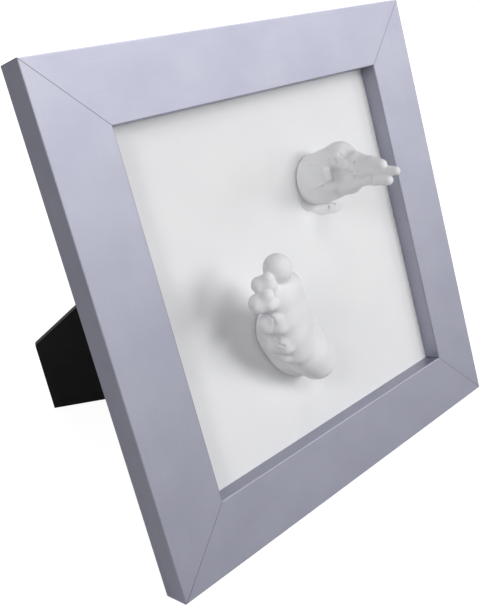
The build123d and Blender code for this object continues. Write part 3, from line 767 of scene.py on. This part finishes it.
FOOT_LINKS = [
    ("heel_back", "heel"), ("heel", "heel_front"), ("heel_front", "waist"), ("waist", "arch"),
    ("arch", "forefoot"), ("forefoot", "big_ball"), ("arch", "second_ball"), ("arch", "third_ball"),
    ("arch", "fourth_ball"), ("waist", "fifth_ball"), ("heel_front", "outer"), ("big_ball", "second_ball"),
    ("fourth_ball", "fifth_ball"), ("fifth_ball", "outer"), ("heel_back", "heel_front"),
    ("instep", "instep_far"), ("instep", "instep_outer"), ("inner_arch", "inner_heel"),
]
TOES = {   # root, underside of the pad, top of the pad, knuckle
    "big": [(-26.3, 37.5, 34.6, 4.8), (-32.4, 46.3, 40.4, 6.1),
            (-32.7, 46.9, 40.4, 6.1), (-31.7, 44.8, 38.2, 5.8)],
    "second": [(-32.6, 36.2, 35.0, 3.6), (-39.6, 40.6, 40.2, 2.8),
               (-39.8, 43.8, 40.6, 2.6), (-41.8, 41.5, 36.4, 4.0)],
    "third": [(-33.2, 29.8, 33.6, 3.8), (-42.0, 32.2, 39.6, 2.9),
              (-42.6, 36.6, 40.4, 2.7), (-44.7, 33.5, 35.6, 4.7)],
    "fourth": [(-29.7, 18.5, 31.0, 5.0), (-35.3, 19.3, 34.6, 3.7),
               (-36.9, 23.9, 35.8, 3.4), (-38.5, 20.9, 30.4, 4.7)],
    "fifth": [(-24.5, 7.7, 26.0, 4.8), (-30.7, 7.1, 29.8, 3.6),
              (-32.1, 10.3, 30.6, 3.6), (-32.3, 8.3, 25.6, 4.5)],
}
TOE_CREASES = [
    (0.50, (-35.8, 41.2, 43.6), (-33.8, 42.4, 46.0), (-30.5, 45.6, 47.1)),
    (0.25, (-36.2, 44.6, 45.9), (-33.3, 45.1, 47.1), (-30.7, 47.1, 47.1)),
    (0.45, (-39.7, 25.9, 35.1), (-40.0, 24.3, 37.3), (-39.8, 21.8, 37.0), (-40.5, 19.0, 35.1)),
    (0.50, (-34.9, 12.8, 31.6), (-35.6, 10.0, 31.3), (-34.3, 8.6, 32.9)),
]
FOOT_SEAMS = {   # how wide each seam is filled
    "sole": 5.5, "ankle": 3.5, "nub": 1.5, "pad": 0.8, "knuckle": 1.0, "toe": 1.6, "root": 2.0, "toes": 0.4,
}


def foot_distance(space):
    x, y, z = space
    t = np.clip(z / ANKLE_TOP[2], 0, 1)
    turn = radians(ANKLE_TURN)
    aside, along = x - t * ANKLE_TOP[0], y - t * ANKLE_TOP[1]
    short, long = [low + t * (ANKLE_TOP[3] - low) for low in ANKLE_RADII]
    ankle = np.sqrt(((aside * cos(turn) + along * sin(turn)) / short) ** 2
                    + ((along * cos(turn) - aside * sin(turn)) / long) ** 2)
    ankle = np.maximum((ankle - 1) * min(ANKLE_RADII), z - ANKLE_TOP[2])
    sole = melt(linked(space, FOOT_BALLS, FOOT_LINKS, FOOT_SEAMS["sole"]), ankle, FOOT_SEAMS["ankle"])
    sole = melt(sole, limb(space, FOOT_BALLS["outer"], FOOT_BALLS["outer_nub"]), FOOT_SEAMS["nub"])
    foot = sole
    for root, low, high, back in TOES.values():
        pad = melt(limb(space, root, low), limb(space, low, high), FOOT_SEAMS["pad"])
        knuckle = melt(limb(space, low, back), limb(space, high, back), FOOT_SEAMS["knuckle"])
        toe = melt(pad, knuckle, FOOT_SEAMS["toe"])
        foot = melt(foot, melt(sole, toe, FOOT_SEAMS["root"]), FOOT_SEAMS["toes"])
    return glued_face(space, creased(space, foot, TOE_CREASES), *ANKLE_LIFT)


# The glue squeezed out below the wrist, from the middle of the wrist
GLUE_POOLS = [   # middle, radii: lenses sunk in the board, so that their edges run out thin
    ((0.0, 0.0, 0.0), (12.6, 12.6, 1.3)),
    ((-7.5, -11.6, -1.5), (9.2, 5.6, 2.3)),
    ((2.4, -14.8, -1.5), (11.0, 7.2, 2.6)),
    ((11.2, -18.0, -1.5), (9.4, 5.8, 2.2)),
]
GLUE_LINES = [   # raised strings of glue
    ((-2.4, -11.6, 0.6, 0.5), (4.0, -13.6, 0.7, 0.55)),
    ((4.0, -13.6, 0.7, 0.55), (10.6, -15.6, 0.5, 0.45)),
    ((-12.4, -9.6, 0.3, 0.5), (-6.4, -13.8, 0.4, 0.4)),
]
GLUE_MARKS = [   # radius, then points: the pinhole, and the groove under the strings
    (0.60, (5.2, -16.9, -0.4), (5.2, -16.9, 1.6)),
    (0.45, (-2.8, -12.6, 0.35), (3.8, -14.7, 0.5), (10.8, -16.7, 0.35)),
]
GLUE_SEAMS = {"pools": 0.8, "lines": 0.5, "underside": 0.02}


def smear_distance(space):
    film = None
    for middle, radii in GLUE_POOLS:
        pool = lump(space, middle, radii)
        film = pool if film is None else melt(film, pool, GLUE_SEAMS["pools"])
    for start, end in GLUE_LINES:
        film = melt(film, limb(space, start, end), GLUE_SEAMS["lines"])
    return cut_flat(space, creased(space, film, GLUE_MARKS), 0.0, GLUE_SEAMS["underside"])


# Turn buttons: a pressed plate, drawn as rings from its outline inwards

BUTTON_GAUGE = 0.8
BUTTON_LIFT = 0.05       # running gap under the button and under the screw's head
BUTTON_WIDTH = 7.0
BUTTON_NOSE = 11.0
BUTTON_TAIL = 5.0
BUTTON_TIP_RADIUS = 2.3
SCREW_HOLE = 1.33
BUTTON_TURNS = {"bottom": 0, "right": 90, "top": 180, "left": 270}   # the nose to the middle, degrees
RING_POINTS = 64
RING_ANGLES = [2 * pi * (step + 0.5) / RING_POINTS for step in range(RING_POINTS)]
# Each ring: how far inside the outline, and how high on the plate
BUTTON_RINGS = [(0.25, 0.0), (0.0, 0.2), (0.0, 0.55), (0.12, 0.72), (0.35, 0.8), (0.9, 0.8), (1.15, 0.62)]


def button_outline(inset):
    """The outline moved inwards: round tail, straight sides, round nose, all about the screw."""
    tail_middle, tail = BUTTON_WIDTH / 2 - BUTTON_TAIL, BUTTON_WIDTH / 2
    nose_middle = BUTTON_NOSE - BUTTON_TIP_RADIUS
    narrowing = (tail - BUTTON_TIP_RADIUS) / (nose_middle - tail_middle)
    points = []
    for angle in RING_ANGLES:
        on_nose = sin(angle) > narrowing
        middle, radius = (nose_middle, BUTTON_TIP_RADIUS) if on_nose else (tail_middle, tail)
        points.append(((radius - inset) * cos(angle), middle + (radius - inset) * sin(angle)))
    return points


def turn_button(name, pivot, turn):
    """A button over its pivot on the frame's back, its nose turned to the middle of the board."""
    hole = [(SCREW_HOLE * cos(angle), SCREW_HOLE * sin(angle)) for angle in RING_ANGLES]
    rings = [[(x, y, 0.0) for x, y in hole]]
    rings += [[(x, y, height) for x, y in button_outline(inset)] for inset, height in BUTTON_RINGS]
    rings.append([(x, y, BUTTON_RINGS[-1][1]) for x, y in hole])
    quads = []
    for ring in range(len(rings)):
        after = (ring + 1) % len(rings)
        for step in range(RING_POINTS):
            follow = (step + 1) % RING_POINTS
            corners = ((ring, step), (after, step), (after, follow), (ring, follow))
            quads.append([row * RING_POINTS + column for row, column in corners])
    on_frame = Matrix((ACROSS, UP, OUT)).transposed().to_4x4()
    place = Matrix.Translation(pivot) @ on_frame @ Matrix.Rotation(turn, 4, "Z")
    flat = [point for ring in rings for point in ring]
    points = [place @ Vector((x * MM, y * MM, -(BUTTON_LIFT + height) * MM)) for x, y, height in flat]
    return new_piece(name, points, quads)


# The fasteners: sizes in millimetres, the crown as a share, the rivets' places from the hinge's axis

SCREW = {"Head Radius": 2.4, "Head Height": 1.15, "Crown": 0.55, "Shank Radius": 1.2, "Shank Length": 9.0,
         "Slot Width": 0.6, "Slot Depth": 0.55}
RIVET = {"Head Radius": 2.7, "Head Height": 0.75, "Crown": 0.7, "Shank Radius": 1.45, "Shank Length": 3.8,
         "Slot Width": 0.0, "Slot Depth": 0.0}
LEAF_RIVET = {**RIVET, "Shank Length": 2.0}
FASTENER_SEEDS = {"screws": 3, "base": 5, "leaf": 7}
PLATE_GAUGE = 0.8
STRUT_GAUGE = 3.0
AXIS_HEIGHT = 2.5        # the hinge's axis behind the frame's back
BASE_RIVET_ALONG = -10.5
BASE_RIVETS_ACROSS = (-12.5, 0.0, 12.5)
LEAF_RIVETS_ALONG = (8.7, 21.2)
LEAF_RIVETS_ACROSS = (-7.5, 7.5)


def screw_places():
    seat = -OUT * (2 * BUTTON_LIFT + BUTTON_GAUGE) * MM
    return [(Vector(joint["pos_m"]) + seat, -OUT) for joint in BUTTON_JOINTS.values()]


def rivet_places(opening, rows, columns, height, outward):
    """Rivets beside the hinge's axis, on a face turned by the opening and this high above the axis."""
    axis = -Vector(JOINTS["strut"]["axis"]).normalized()
    swing = Matrix.Rotation(opening, 3, axis)
    along, off = swing @ axis.cross(OUT), swing @ -OUT
    middle = Vector(JOINTS["strut"]["pos_m"])
    return [(middle + (along * row + axis * column + off * height) * MM, off * outward)
            for row in rows for column in columns]


# Assembly

def paint(piece, material):
    piece.data.materials.clear()
    piece.data.materials.append(material)


def stand_in(piece, material, body, node):
    """A finished piece on its body, in place of a plain solid."""
    paint(piece, material)
    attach(piece, body)
    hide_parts(node)


def dress():
    build_effects()
    along_x = foil("foil_lengthwise", (FOIL_GRAIN_ALONG, FOIL_GRAIN_ACROSS, FOIL_GRAIN_ACROSS))
    along_y = foil("foil_upright", (FOIL_GRAIN_ACROSS, FOIL_GRAIN_ALONG, FOIL_GRAIN_ACROSS))
    plain = {name: plain_finish(name) for name in PLAIN_FINISHES}
    black, white, film = plain["black_hardboard"], plain["casting_plaster"], plain["dried_glue"]
    zinc, bright = plain["zinc_plate"], plain["bright_steel"]
    finishes = {"rail_top": along_x, "rail_bottom": along_x, "rail_left": along_y, "rail_right": along_y,
                "mount_board": plain["matt_white_board"], "backing_board": black, "strut_panel": black,
                "hinge_base": zinc, "hinge_leaf": zinc, "foot_glue": film}
    for name, node in frame["nodes"].items():
        paint(node, finishes.get(name, bright))

    hand = skin("hand_cast_skin", hand_distance, *HAND_BOX, HAND_VOXEL, HAND_PLACE)
    stand_in(hand, white, "frame", "hand_cast")
    foot = skin("foot_cast_skin", foot_distance, *FOOT_BOX, FOOT_VOXEL, FOOT_PLACE)
    stand_in(foot, white, "frame", "foot_cast")
    smear = skin("hand_glue_smear", smear_distance, *GLUE_BOX, GLUE_VOXEL, HAND_PLACE)
    stand_in(smear, film, "frame", "hand_glue")

    for body, joint in BUTTON_JOINTS.items():
        pivot = Vector(joint["pos_m"])
        turn = radians(BUTTON_TURNS[body.split("_")[1]])
        stand_in(turn_button("pressed_" + body, pivot, turn), zinc, body, "turn_" + body)

    tree = fastener_tree()
    strut_swing = radians(JOINTS["strut"]["range_deg"][1])
    leaf_top = PLATE_GAUGE / 2
    screws = fasten("slotted_screws", tree, screw_places(), SCREW, bright, FASTENER_SEEDS["screws"])
    stand_in(screws, bright, "frame", "turn_button_screws")
    base_places = rivet_places(0.0, [BASE_RIVET_ALONG], BASE_RIVETS_ACROSS, PLATE_GAUGE - AXIS_HEIGHT, 1)
    base = fasten("hinge_base_rivet_heads", tree, base_places, RIVET, bright, FASTENER_SEEDS["base"])
    stand_in(base, bright, "frame", "hinge_base_rivets")
    outer = rivet_places(strut_swing, LEAF_RIVETS_ALONG, LEAF_RIVETS_ACROSS, leaf_top + STRUT_GAUGE, 1)
    inner = rivet_places(strut_swing, LEAF_RIVETS_ALONG, LEAF_RIVETS_ACROSS, leaf_top - PLATE_GAUGE, -1)
    leaf = fasten("strut_rivet_heads", tree, outer + inner, LEAF_RIVET, bright, FASTENER_SEEDS["leaf"])
    stand_in(leaf, bright, "strut", "strut_rivets")


bpy.context.scene.view_settings.view_transform = "Standard"
aim_camera()
hang_lamps()
light_world()
dress()
lay_floor()
